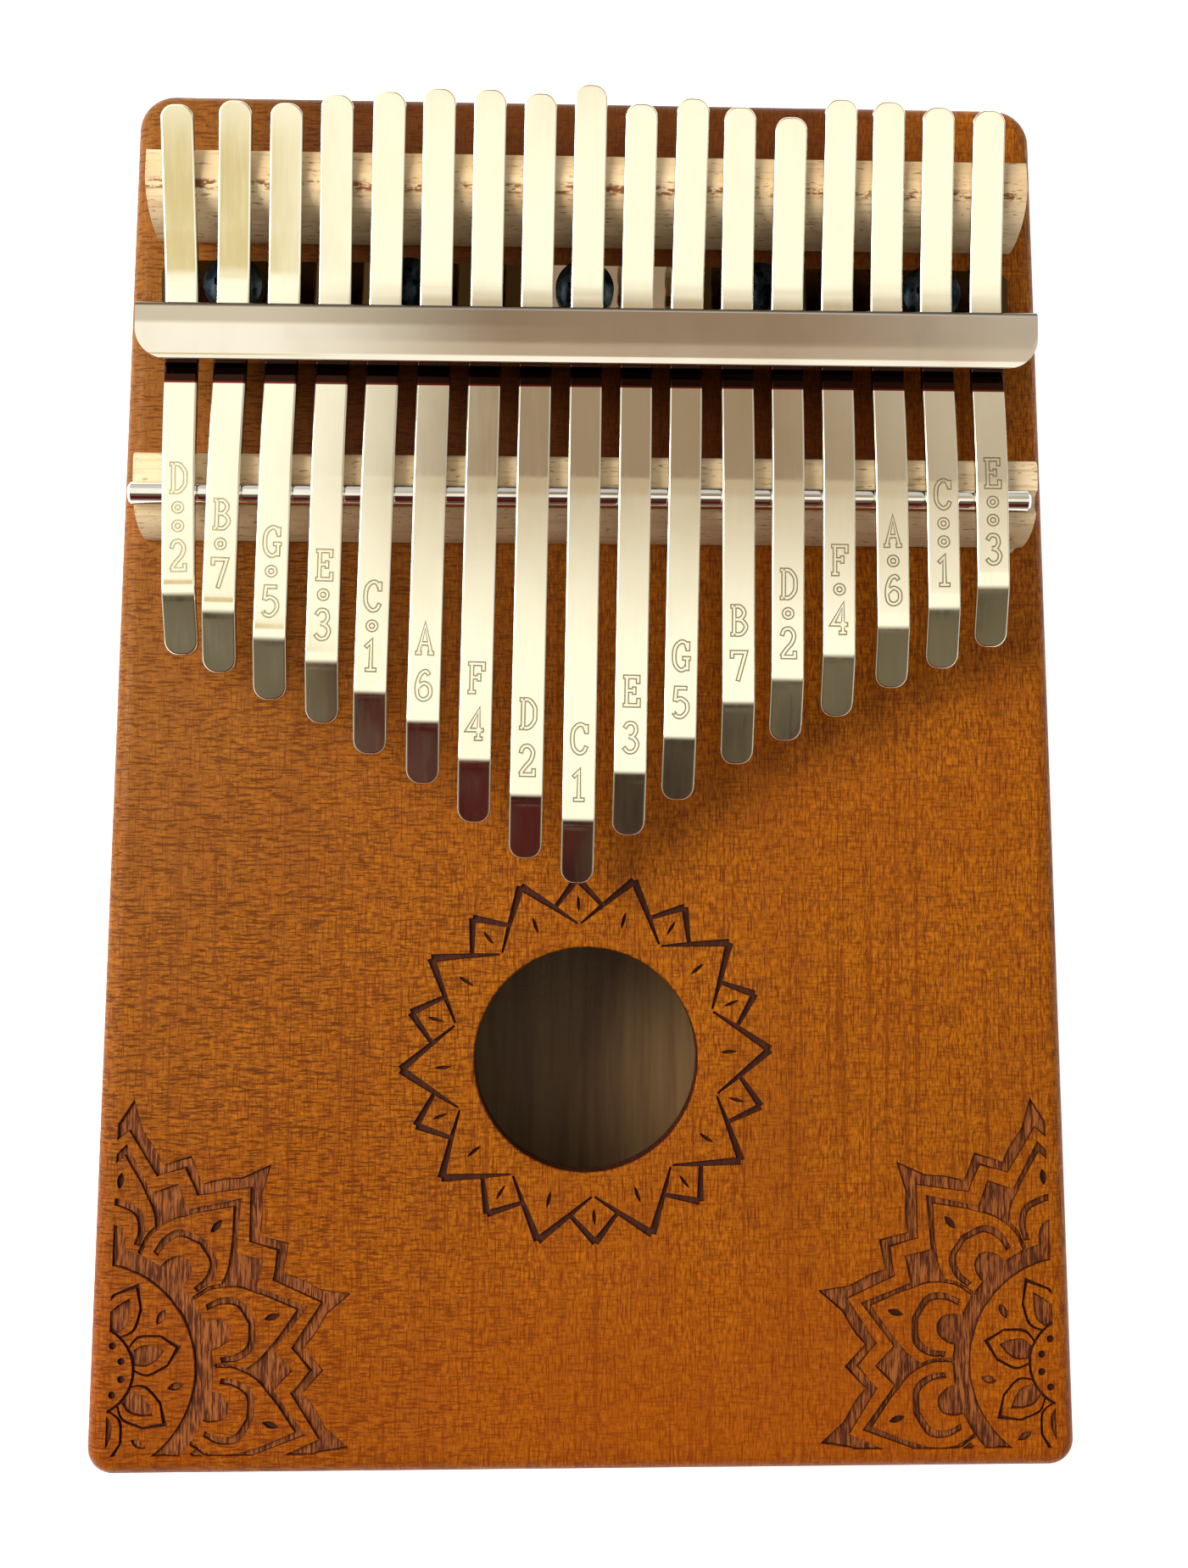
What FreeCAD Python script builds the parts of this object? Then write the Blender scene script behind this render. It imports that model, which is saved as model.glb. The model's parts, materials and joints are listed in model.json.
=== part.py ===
import FreeCAD, Part
import math
import os

# A seventeen-key thumb piano: a hollow box of thin boards, two wooden bridges, a steel
# rod, a folded pressure bracket held by five screws, and seventeen spring-steel tines.
#
# Frame: origin at the middle of the body's underside, +X to the player's right,
# +Y from the playing end to the head, +Z up through the soundboard. Millimetres.

Vector = FreeCAD.Vector
X_AXIS = Vector(1, 0, 0)
Z_AXIS = Vector(0, 0, 1)

# ---- Driving dimensions: body ------------------------------------------------------
BODY_LENGTH = 186.0
HEAD_WIDTH = 123.0
TAIL_WIDTH = 132.0
BODY_DEPTH = 34.0
HEAD_CORNER_R = 5.0
TAIL_CORNER_R = 3.5
EDGE_ROUND_R = 2.5
SOUNDBOARD_T = 4.0
BACK_T = 4.0
SIDE_RAIL_T = 7.0
HEAD_BLOCK_Y = 46.0
TAIL_RAIL_T = 8.0
SOUND_HOLE_R = 15.0
SOUND_HOLE_Y = -38.5
FINGER_HOLE_R = 5.0
FINGER_HOLE_X = 34.0
FINGER_HOLE_Y = 20.0
DECK_Z = BODY_DEPTH

# ---- Driving dimensions: bridges and rod -------------------------------------------
REAR_BRIDGE_LENGTH = 116.5
REAR_BRIDGE_BACK_Y = 81.2
REAR_BRIDGE_CREST_Y = 78.0
REAR_BRIDGE_FRONT_Y = 72.0
REAR_BRIDGE_H = 8.8
REAR_BRIDGE_BACK_H = 8.3
FRONT_BRIDGE_LENGTH = 119.0
FRONT_BRIDGE_BACK_Y = 41.4
FRONT_BRIDGE_CREST_Y = 36.6
FRONT_BRIDGE_FRONT_Y = 31.1
FRONT_BRIDGE_H = 7.7
FRONT_BRIDGE_BACK_R = 1.2
ROD_R = 1.5
ROD_LENGTH = 118.2
ROD_X = -0.8
ROD_Y = 35.75
ROD_H = 7.8
ROD_CHAMFER = 0.4
GLUE_GAP = 0.05

# ---- Driving dimensions: pressure bracket and screws -------------------------------
SHEET_T = 1.2
BRACKET_LENGTH = 117.4
FLANGE_LENGTH = 115.2
FLANGE_BACK_Y = 69.1
WEB_BACK_Y = 60.2
LIP_Y = 52.6
BRACKET_H = 11.2
LIP_LOW_H = 9.4
LIP_CORNER_R = 4.0
LIP_FOLD_R = 1.5
FLANGE_CORNER_R = 2.0
FOLD_R = 0.9
SLOT_W = 4.95
SLOT_LOW_H = 5.9
SLOT_HIGH_H = 9.0
SCREW_PITCH = 23.7
SCREW_X = -0.5
SCREW_Y = 65.6
SCREW_COUNT = 5
SCREW_HEAD_R = 3.95
SCREW_HEAD_H = 2.4
SCREW_RIM_H = 1.0
SCREW_SHANK_R = 1.55
SCREW_LENGTH = 18.0
SCREW_POINT = 3.0
CROSS_LENGTH = 4.6
CROSS_WIDTH = 0.95
CROSS_DEPTH = 1.5
FLANGE_HOLE_R = 1.9
PILOT_R = 1.6

# ---- Driving dimensions: tines -----------------------------------------------------
TINE_W = 4.25
TINE_T = 1.1
TINE_PITCH = 6.63
TINE_MIDDLE_X = -0.37
TINE_TIP_R = 1.75
CONTACT_GAP = 0.05
TIP_LENGTH = 9.2
TIP_FALL_DEG = 17.0
TIP_BEND_R = 6.0
REAR_RISE = 0.13
FRONT_RISE = 0.02
PRESSED_H = 7.0

# One row per tine from left to right: note name, reach of the tip in front of the rod,
# rear end behind the rod, and the lean of the tine in degrees about the vertical.
TINES = [
    ("d6", 21.2, 50.4, 0.9),
    ("b5", 23.5, 51, -1.3),
    ("g5", 27.0, 50.8, -1.3),
    ("e5", 30.0, 52, -1.1),
    ("c5", 34.0, 52.5, -1.5),
    ("a4", 37.8, 53, -1.2),
    ("f4", 42.8, 53, -1.1),
    ("d4", 47.4, 52.6, -1.0),
    ("c4", 50.6, 53.8, -0.9),
    ("e4", 44.4, 51.5, -1.0),
    ("g4", 39.8, 52.3, -1.3),
    ("b4", 35.1, 51.3, -0.3),
    ("d5", 32.0, 50.1, -0.6),
    ("f5", 28.8, 52.5, -0.5),
    ("a5", 25.0, 52.3, 0.2),
    ("c6", 22.4, 51.7, 0.3),
    ("e6", 19.5, 51.4, 0.1),
]


def half_width(y):
    """Half the body's width at y: the sides are straight and spread towards the tail."""
    towards_tail = (BODY_LENGTH / 2 - y) / BODY_LENGTH
    return (HEAD_WIDTH + (TAIL_WIDTH - HEAD_WIDTH) * towards_tail) / 2


def box(x, y, z):
    """A block from three (low, high) pairs."""
    corner = Vector(x[0], y[0], z[0])
    return Part.makeBox(x[1] - x[0], y[1] - y[0], z[1] - z[0], corner)


def mirror_x(points):
    return [(-x, y) for x, y in reversed(points)]


def plate(points, low, high):
    """A flat plate between two heights, from its (x, y) outline."""
    outline = [Vector(x, y, low) for x, y in points]
    outline.append(outline[0])
    return Part.Face(Part.makePolygon(outline)).extrude(Vector(0, 0, high - low))


def profile_bar(edges, length, middle_x=0.0):
    """A bar along X from the edges of its (y, z) section."""
    section = Part.Face(Part.Wire(edges))
    bar = section.extrude(Vector(length, 0, 0))
    bar.translate(Vector(middle_x - length / 2, 0, 0))
    return bar


def section_point(y, height):
    """A point of a side-view section, its height counted from the soundboard."""
    return Vector(0, y, DECK_Z + height)


def line(start, end):
    return Part.LineSegment(start, end).toShape()


def upright_edges(shape, is_corner):
    """The vertical straight edges whose place passes the test is_corner(x, y)."""
    found = []
    for edge in shape.Edges:
        ends = [vertex.Point for vertex in edge.Vertexes]
        if len(ends) == 2 and (ends[0] - ends[1]).cross(Z_AXIS).Length < 1e-6:
            if is_corner(ends[0].x, ends[0].y):
                found.append(edge)
    return found


# ---- Body --------------------------------------------------------------------------
def body_plate(low, high):
    """The body's full outline, with its rounded corners, between two heights."""
    head_y = BODY_LENGTH / 2
    right = [(half_width(-head_y), -head_y), (half_width(head_y), head_y)]
    solid = plate(right + mirror_x(right), low, high)
    head_corners = upright_edges(solid, lambda x, y: y > 0)
    solid = solid.makeFillet(HEAD_CORNER_R, head_corners)
    is_tail_corner = lambda x, y: abs(abs(x) - half_width(-head_y)) < 1e-3 and y < 0
    return solid.makeFillet(TAIL_CORNER_R, upright_edges(solid, is_tail_corner))


def outline_edges(solid, level):
    """The edges of a plate's rim at one height."""
    return [e for e in solid.Edges if abs(e.BoundBox.ZMin - level) + abs(e.BoundBox.ZMax - level) < 1e-4]


def screw_places():
    middle = (SCREW_COUNT - 1) / 2
    return [SCREW_X + (index - middle) * SCREW_PITCH for index in range(SCREW_COUNT)]


def drill_screw_holes(solid, radius, low, high):
    for x in screw_places():
        hole = Part.makeCylinder(radius, high - low, Vector(x, SCREW_Y, low))
        solid = solid.cut(hole)
    return solid


def soundboard():
    low = DECK_Z - SOUNDBOARD_T
    board = body_plate(low, DECK_Z)
    board = board.makeFillet(EDGE_ROUND_R, outline_edges(board, DECK_Z))
    sound_hole = Part.makeCylinder(SOUND_HOLE_R, SOUNDBOARD_T, Vector(0, SOUND_HOLE_Y, low))
    board = board.cut(sound_hole)
    return drill_screw_holes(board, PILOT_R, low, DECK_Z)


def back_plate():
    board = body_plate(0, BACK_T)
    board = board.makeFillet(EDGE_ROUND_R, outline_edges(board, 0))
    for x in (-FINGER_HOLE_X, FINGER_HOLE_X):
        board = board.cut(Part.makeCylinder(FINGER_HOLE_R, BACK_T, Vector(x, FINGER_HOLE_Y, 0)))
    return board


def wall_band(y_low, y_high):
    """The part of the body between the two boards and between two places along Y."""
    low, high = BACK_T, DECK_Z - SOUNDBOARD_T
    reach = TAIL_WIDTH
    return body_plate(low, high).common(box((-reach, reach), (y_low, y_high), (low, high)))


def head_block():
    block = wall_band(HEAD_BLOCK_Y, BODY_LENGTH)
    top = DECK_Z - SOUNDBOARD_T
    screw_end = DECK_Z + SHEET_T - SCREW_LENGTH - 1.0
    return drill_screw_holes(block, PILOT_R, screw_end, top)


def tail_rail():
    return wall_band(-BODY_LENGTH, -BODY_LENGTH / 2 + TAIL_RAIL_T)


def side_rail(side):
    """A slanted side wall; side is +1 on the right and -1 on the left."""
    y_low, y_high = -BODY_LENGTH / 2 + TAIL_RAIL_T, HEAD_BLOCK_Y
    outer = [(half_width(y_low), y_low), (half_width(y_high), y_high)]
    inner = [(x - SIDE_RAIL_T, y) for x, y in reversed(outer)]
    outline = outer + inner
    if side < 0:
        outline = mirror_x(outline)
    return plate(outline, BACK_T, DECK_Z - SOUNDBOARD_T)


# ---- Bridges and rod ---------------------------------------------------------------
def quarter_round(front_y, crest_y, height):
    """The curved front of a bridge, a quarter of an ellipse from its foot to its crest."""
    run = crest_y - front_y
    foot, crest = section_point(front_y, 0), section_point(crest_y, height)
    centre = section_point(crest_y, 0)
    if height > run:
        ellipse = Part.Ellipse(crest, centre - Vector(0, run, 0), centre)
    else:
        ellipse = Part.Ellipse(centre - Vector(0, run, 0), crest, centre)
    start, end = ellipse.parameter(foot), ellipse.parameter(crest)
    if end < start:
        start, end = end, start
    if end - start > math.pi:
        start, end = end, start + 2 * math.pi
    return ellipse.toShape(start, end), foot, crest


def rear_bridge():
    curve, foot, crest = quarter_round(REAR_BRIDGE_FRONT_Y, REAR_BRIDGE_CREST_Y, REAR_BRIDGE_H)
    back_top = section_point(REAR_BRIDGE_BACK_Y, REAR_BRIDGE_BACK_H)
    back_foot = section_point(REAR_BRIDGE_BACK_Y, 0)
    edges = [curve, line(crest, back_top), line(back_top, back_foot), line(back_foot, foot)]
    return profile_bar(edges, REAR_BRIDGE_LENGTH)


def rod_axis_point(x):
    return Vector(x, ROD_Y, DECK_Z + ROD_H)


def front_bridge():
    """The bridge under the rod; a groove along its crest seats the rod."""
    curve, foot, crest = quarter_round(FRONT_BRIDGE_FRONT_Y, FRONT_BRIDGE_CREST_Y, FRONT_BRIDGE_H)
    r = FRONT_BRIDGE_BACK_R
    round_start = section_point(FRONT_BRIDGE_BACK_Y - r, FRONT_BRIDGE_H)
    round_end = section_point(FRONT_BRIDGE_BACK_Y, FRONT_BRIDGE_H - r)
    slack = r * (1 - math.sqrt(0.5))
    round_middle = section_point(FRONT_BRIDGE_BACK_Y - slack, FRONT_BRIDGE_H - slack)
    back_foot = section_point(FRONT_BRIDGE_BACK_Y, 0)
    edges = [
        curve,
        line(crest, round_start),
        Part.Arc(round_start, round_middle, round_end).toShape(),
        line(round_end, back_foot),
        line(back_foot, foot),
    ]
    bar = profile_bar(edges, FRONT_BRIDGE_LENGTH)
    length = 2 * FRONT_BRIDGE_LENGTH
    groove = Part.makeCylinder(ROD_R + GLUE_GAP, length, rod_axis_point(-length / 2), X_AXIS)
    return bar.cut(groove)


def bridge_rod():
    start = ROD_X - ROD_LENGTH / 2
    rod = Part.makeCylinder(ROD_R, ROD_LENGTH, rod_axis_point(start), X_AXIS)
    rims = [edge for edge in rod.Edges if isinstance(edge.Curve, Part.Circle)]
    return rod.makeChamfer(ROD_CHAMFER, rims)


# ---- Pressure bracket and screws ---------------------------------------------------
def bracket_section():
    """Side view of the folded sheet: lower flange, upright web, upper flange, turned-down lip."""
    t = SHEET_T
    web_front_y = WEB_BACK_Y - t
    points = [
        (FLANGE_BACK_Y, 0),
        (web_front_y, 0),
        (web_front_y, BRACKET_H - t),
        (LIP_Y + t, BRACKET_H - t),
        (LIP_Y + t, LIP_LOW_H),
        (LIP_Y, LIP_LOW_H),
        (LIP_Y, BRACKET_H),
        (WEB_BACK_Y, BRACKET_H),
        (WEB_BACK_Y, t),
        (FLANGE_BACK_Y, t),
    ]
    corners = [section_point(y, height) for y, height in points]
    return [line(a, b) for a, b in zip(corners, corners[1:] + corners[:1])]


def edges_along_x(solid, y, height):
    """The edges that run along X through one point of the section."""
    found = []
    for edge in solid.Edges:
        place = edge.BoundBox
        near = abs(place.YMin - y) + abs(place.YMax - y) < 1e-3
        level = abs(place.ZMin - DECK_Z - height) + abs(place.ZMax - DECK_Z - height) < 1e-3
        if near and level:
            found.append(edge)
    return found


def tine_places():
    middle = (len(TINES) - 1) / 2
    return [TINE_MIDDLE_X + (index - middle) * TINE_PITCH for index in range(len(TINES))]


def round_plate_corners(length, y_edge, inward, radius):
    """Cutters that round the two plan corners of a flange's free edge."""
    cutters = []
    for side in (-1, 1):
        tip_x, centre_x = side * length / 2, side * (length / 2 - radius)
        centre_y = y_edge + inward * radius
        low, high = DECK_Z - 1, DECK_Z + BRACKET_H + 1
        square = box(sorted((tip_x + side, centre_x)), sorted((y_edge - inward, centre_y)), (low, high))
        disc = Part.makeCylinder(radius, high - low, Vector(centre_x, centre_y, low))
        cutters.append(square.cut(disc))
    return cutters


def pressure_bracket():
    t = SHEET_T
    sheet = profile_bar(bracket_section(), BRACKET_LENGTH)
    folds = edges_along_x(sheet, WEB_BACK_Y - t, 0) + edges_along_x(sheet, WEB_BACK_Y, BRACKET_H)
    sheet = sheet.makeFillet(FOLD_R, folds)
    sheet = sheet.makeFillet(LIP_FOLD_R, edges_along_x(sheet, LIP_Y, BRACKET_H))

    spare = (BRACKET_LENGTH - FLANGE_LENGTH) / 2
    for side in (-1, 1):
        end = side * BRACKET_LENGTH / 2
        below_fold = (DECK_Z - 1, DECK_Z + BRACKET_H - 2 * t)
        sheet = sheet.cut(box(sorted((end, end - side * spare)), (WEB_BACK_Y - t, FLANGE_BACK_Y), below_fold))
    for cutter in round_plate_corners(BRACKET_LENGTH, LIP_Y, 1, LIP_CORNER_R):
        sheet = sheet.cut(cutter)
    for cutter in round_plate_corners(FLANGE_LENGTH, FLANGE_BACK_Y, -1, FLANGE_CORNER_R):
        sheet = sheet.cut(cutter)

    slot_z = (DECK_Z + SLOT_LOW_H, DECK_Z + SLOT_HIGH_H)
    for x in tine_places():
        slot = box((x - SLOT_W / 2, x + SLOT_W / 2), (WEB_BACK_Y - t, WEB_BACK_Y), slot_z)
        sheet = sheet.cut(slot)
    return drill_screw_holes(sheet, FLANGE_HOLE_R, DECK_Z, DECK_Z + t)


def bracket_screw(x):
    """A pan-head wood screw with a cross recess and a pointed plain shank."""
    head_z = DECK_Z + SHEET_T
    shank_low = head_z - SCREW_LENGTH + SCREW_POINT
    shank = Part.makeCylinder(SCREW_SHANK_R, head_z - shank_low, Vector(x, SCREW_Y, shank_low))
    point = Part.makeCone(0.2, SCREW_SHANK_R, SCREW_POINT, Vector(x, SCREW_Y, shank_low - SCREW_POINT))

    rim = Part.makeCylinder(SCREW_HEAD_R, SCREW_RIM_H, Vector(x, SCREW_Y, head_z))
    rise = SCREW_HEAD_H - SCREW_RIM_H
    dome_r = (SCREW_HEAD_R ** 2 + rise ** 2) / (2 * rise)
    dome_centre = Vector(x, SCREW_Y, head_z + SCREW_HEAD_H - dome_r)
    above_rim = Part.makeCylinder(SCREW_HEAD_R, rise, Vector(x, SCREW_Y, head_z + SCREW_RIM_H))
    crown = Part.makeSphere(dome_r, dome_centre).common(above_rim)
    screw = shank.fuse([point, rim, crown]).removeSplitter()

    top = head_z + SCREW_HEAD_H
    long_half, short_half = CROSS_LENGTH / 2, CROSS_WIDTH / 2
    for half_x, half_y in ((long_half, short_half), (short_half, long_half)):
        groove = box((x - half_x, x + half_x), (SCREW_Y - half_y, SCREW_Y + half_y), (top - CROSS_DEPTH, top))
        screw = screw.cut(groove)
    return screw


# ---- Tines -------------------------------------------------------------------------
class Station:
    """A point on a tine's underside, with its forward direction and upward normal."""

    def __init__(self, y, height, rise):
        slope = math.hypot(1, rise)
        self.low = section_point(y, height)
        self.forward = Vector(0, -1 / slope, rise / slope)
        self.normal = Vector(0, rise / slope, 1 / slope)
        self.high = self.low + self.normal * TINE_T

    def moved(self, distance):
        """The station this far ahead on a straight stretch."""
        ahead = self.low + self.forward * distance
        rise = -self.forward.z / self.forward.y
        return Station(ahead.y, ahead.z - DECK_Z, rise)


def spring_curve(points, stations):
    """The bent stretch of a pressed tine, smooth through its points."""
    curve = Part.BSplineCurve()
    curve.interpolate(
        Points=points, InitialTangent=stations[0].forward, FinalTangent=stations[-1].forward
    )
    return curve.toShape()


def tip_bend(start, top):
    """The soft downward bend before the tip: its edge and the angle point it ends at."""
    turn = math.radians(TIP_FALL_DEG)
    radius = TIP_BEND_R + (TINE_T if top else 0)
    centre = start.low - start.normal * TIP_BEND_R
    begin_angle = math.atan2(start.normal.z, start.normal.y)

    def on_arc(part):
        angle = begin_angle + turn * part
        return centre + Vector(0, math.cos(angle), math.sin(angle)) * radius

    return Part.Arc(on_arc(0), on_arc(0.5), on_arc(1)).toShape(), on_arc(1)


def tine_blank(front_reach, rear_reach):
    """The full-width strip in side view: raised tail, pressed middle, level front, bent tip."""
    crest_h = REAR_BRIDGE_H + CONTACT_GAP
    tail_crest = Station(REAR_BRIDGE_CREST_Y - 0.5, crest_h, -REAR_RISE)
    pressed = Station(WEB_BACK_Y - SHEET_T / 2, PRESSED_H, 0.0)
    over_rod = Station(ROD_Y, ROD_H + ROD_R + CONTACT_GAP, FRONT_RISE)
    tail = tail_crest.moved(-(ROD_Y + rear_reach - tail_crest.low.y))
    bend = over_rod.moved(front_reach - TIP_LENGTH)
    springs = [tail_crest, pressed, over_rod]

    under_arc, under_end = tip_bend(bend, top=False)
    upper_arc, upper_end = tip_bend(bend, top=True)
    turn = math.radians(TIP_FALL_DEG)
    fall = math.atan2(bend.forward.z, -bend.forward.y) - turn
    tip_forward = Vector(0, -math.cos(fall), math.sin(fall))
    straight = TIP_LENGTH - TIP_BEND_R * turn
    under_tip = under_end + tip_forward * straight
    upper_tip = upper_end + tip_forward * straight

    edges = [
        line(tail.low, tail_crest.low),
        spring_curve([station.low for station in springs], springs),
        line(over_rod.low, bend.low),
        under_arc,
        line(under_end, under_tip),
        line(under_tip, upper_tip),
        line(upper_tip, upper_end),
        upper_arc,
        line(bend.high, over_rod.high),
        spring_curve([station.high for station in springs], springs),
        line(tail_crest.high, tail.high),
        line(tail.high, tail.low),
    ]
    return profile_bar(Part.sortEdges(edges)[0], TINE_W)


def tine_outline(solid):
    """A cutter in plan: a half-round rear end and a rounded tip."""
    extent = solid.BoundBox
    low, high = extent.ZMin - 1, extent.ZMax + 1
    half = TINE_W / 2
    cutter = box((-half, half), (extent.YMin, extent.YMax), (low, high))
    rear = upright_edges(cutter, lambda x, y: y > ROD_Y)
    cutter = cutter.makeFillet(half - 0.01, rear)
    front = upright_edges(cutter, lambda x, y: y < ROD_Y and abs(y - extent.YMin) < 1e-3)
    return cutter.makeFillet(TINE_TIP_R, front)


def tine(x, front_reach, rear_reach, lean_deg):
    blank = tine_blank(front_reach, rear_reach)
    key = blank.common(tine_outline(blank))
    key.rotate(Vector(0, WEB_BACK_Y, 0), Z_AXIS, lean_deg)
    key.translate(Vector(x, 0, 0))
    return key


# ---- Assembly ----------------------------------------------------------------------
def assembly():
    nodes = {
        "soundboard": soundboard(),
        "back_plate": back_plate(),
        "head_block": head_block(),
        "tail_rail": tail_rail(),
        "side_rail_left": side_rail(-1),
        "side_rail_right": side_rail(1),
        "rear_bridge": rear_bridge(),
        "front_bridge": front_bridge(),
        "bridge_rod": bridge_rod(),
        "pressure_bracket": pressure_bracket(),
    }
    for number, x in enumerate(screw_places(), start=1):
        nodes[f"bracket_screw_{number}"] = bracket_screw(x)
    for x, (note, front_reach, rear_reach, lean) in zip(tine_places(), TINES):
        nodes[f"tine_{note}"] = tine(x, front_reach, rear_reach, lean)
    return nodes


os.makedirs("parts", exist_ok=True)
for name, shape in assembly().items():
    if not shape.isValid() or len(shape.Solids) != 1:
        raise ValueError(f"{name} isn't one valid solid")
    shape.exportStep(f"parts/{name}.step")
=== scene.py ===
import json
import math

import bmesh
import bpy
import numpy as np
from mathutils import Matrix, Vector
from mathutils.bvhtree import BVHTree
from mathutils.geometry import delaunay_2d_cdt

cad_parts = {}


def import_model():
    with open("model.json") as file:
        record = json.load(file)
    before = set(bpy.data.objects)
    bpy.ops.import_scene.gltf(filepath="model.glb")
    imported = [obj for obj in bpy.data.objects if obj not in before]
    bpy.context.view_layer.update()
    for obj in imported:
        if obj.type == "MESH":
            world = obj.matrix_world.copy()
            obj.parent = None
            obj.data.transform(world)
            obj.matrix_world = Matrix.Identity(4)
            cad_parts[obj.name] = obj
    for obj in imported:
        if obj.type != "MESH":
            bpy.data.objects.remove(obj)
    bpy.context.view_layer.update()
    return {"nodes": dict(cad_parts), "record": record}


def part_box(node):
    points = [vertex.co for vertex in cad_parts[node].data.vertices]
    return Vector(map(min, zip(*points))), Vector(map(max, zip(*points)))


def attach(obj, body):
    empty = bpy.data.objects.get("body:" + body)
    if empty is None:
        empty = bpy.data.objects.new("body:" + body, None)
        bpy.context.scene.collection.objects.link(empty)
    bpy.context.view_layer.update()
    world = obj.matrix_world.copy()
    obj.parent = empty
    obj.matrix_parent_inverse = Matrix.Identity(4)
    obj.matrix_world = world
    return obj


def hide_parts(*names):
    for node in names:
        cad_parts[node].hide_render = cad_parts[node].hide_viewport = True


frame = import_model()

MM = 0.001
DECK_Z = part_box("soundboard")[1].z


# ---- Flat figures, in millimetres ----
def polar(angle, radius, centre=(0.0, 0.0)):
    turn = math.radians(angle)
    return (centre[0] + radius * math.cos(turn), centre[1] + radius * math.sin(turn))


def arc(centre, radius, start, end, count):
    return [polar(start + (end - start) * i / count, radius, centre) for i in range(count + 1)]


def circle(centre, radius, count):
    return arc(centre, radius, 0, 360, count)[:-1]


def smooth_line(points, steps=5):
    """Points along a smooth curve that passes through the given points."""
    p = np.array(points, float)
    p = np.vstack([2 * p[0] - p[1], p, 2 * p[-1] - p[-2]])
    out = []
    for a, b, c, d in zip(p, p[1:], p[2:], p[3:]):
        for t in np.arange(steps) / steps:
            bend = (2 * a - 5 * b + 4 * c - d) * t * t + (3 * b - a - 3 * c + d) * t ** 3
            out.append((2 * b + (c - a) * t + bend) / 2)
    return np.array(out + [p[-2]])


def stroke(points, width, end_width=None):
    """The outline of a pen line along points; its width may change from start to end."""
    p = np.array(points, float)
    step = np.diff(p, axis=0)
    step /= np.linalg.norm(step, axis=1)[:, None]
    side = np.stack([-step[:, 1], step[:, 0]], axis=1)
    joint = np.vstack([side[:1], side[:-1] + side[1:], side[-1:]])
    joint /= np.linalg.norm(joint, axis=1)[:, None]
    reach = 1 / np.maximum(np.sum(joint * np.vstack([side[:1], side]), axis=1), 0.5)
    half = np.linspace(width, width if end_width is None else end_width, len(p)) / 2
    offset = joint * (reach * half)[:, None]
    return np.vstack([p + offset, (p - offset)[::-1]])


def lens(middle, length, width, angle):
    """A pointed oval."""
    along = np.array(polar(angle, 1))
    across = np.array([-along[1], along[0]])
    t = np.linspace(-1, 1, 7)
    middle = np.array(middle)
    rim = [middle + along * length / 2 * a + across * width / 2 * (1 - a * a) for a in t]
    rim += [middle + along * length / 2 * a - across * width / 2 * (1 - a * a) for a in t[-2:0:-1]]
    return np.array(rim)


def both_sides(half):
    """A closed figure from the half of its rim with v >= 0, mirrored in the u axis."""
    half = [tuple(p) for p in half]
    return half + [(u, -v) for u, v in reversed(half) if v > 1e-9]


def placed(points, angle, centre=(0.0, 0.0)):
    """Figure points (u, v) turned so that u runs out along the angle."""
    turn = math.radians(angle)
    c, s = math.cos(turn), math.sin(turn)
    return [(centre[0] + u * c - v * s, centre[1] + u * s + v * c) for u, v in points]


# ---- Triangulated and carved plates ----
# A face's kind: 0 is the untouched surface, FLOOR and LINE are levels painted on it.
FLOOR, LINE, WALL, LEDGE = 1, 2, -1, -2
WELD = 1e-4
LEDGE_REACH, LEDGE_DEPTH = 0.3, 0.3
MITRE_LIMIT, FLOOR_SHARE = 1.6, 0.4
FAR = 1e9


def add_piece(name, mesh, materials):
    """Puts a finished mesh into the scene as an object."""
    for material in materials:
        mesh.materials.append(material)
    return linked(name, mesh)


def linked(name, data):
    """A new object in the scene."""
    piece = bpy.data.objects.new(name, data)
    bpy.context.scene.collection.objects.link(piece)
    return piece


def shade(mesh, sharp_deg):
    """Smooth shading, with an edge wherever faces meet at more than sharp_deg."""
    mesh.shade_smooth()
    mesh.set_sharp_from_angle(angle=math.radians(sharp_deg))


def inside(places, ring):
    """Which of the places lie inside a closed ring of points."""
    hit = np.zeros(len(places), bool)
    low, high = ring.min(0), ring.max(0)
    near = np.flatnonzero(np.all((places > low) & (places < high), axis=1))
    x, y = places[near, 0, None], places[near, 1, None]
    x0, y0 = ring[:, 0], ring[:, 1]
    x1, y1 = np.roll(x0, -1), np.roll(y0, -1)
    spans = (y0 > y) != (y1 > y)
    run = np.where(y1 == y0, 1, y1 - y0)
    crossings = spans & (x < x0 + (y - y0) * (x1 - x0) / run)
    hit[near] = crossings.sum(axis=1) % 2 == 1
    return hit


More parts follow.
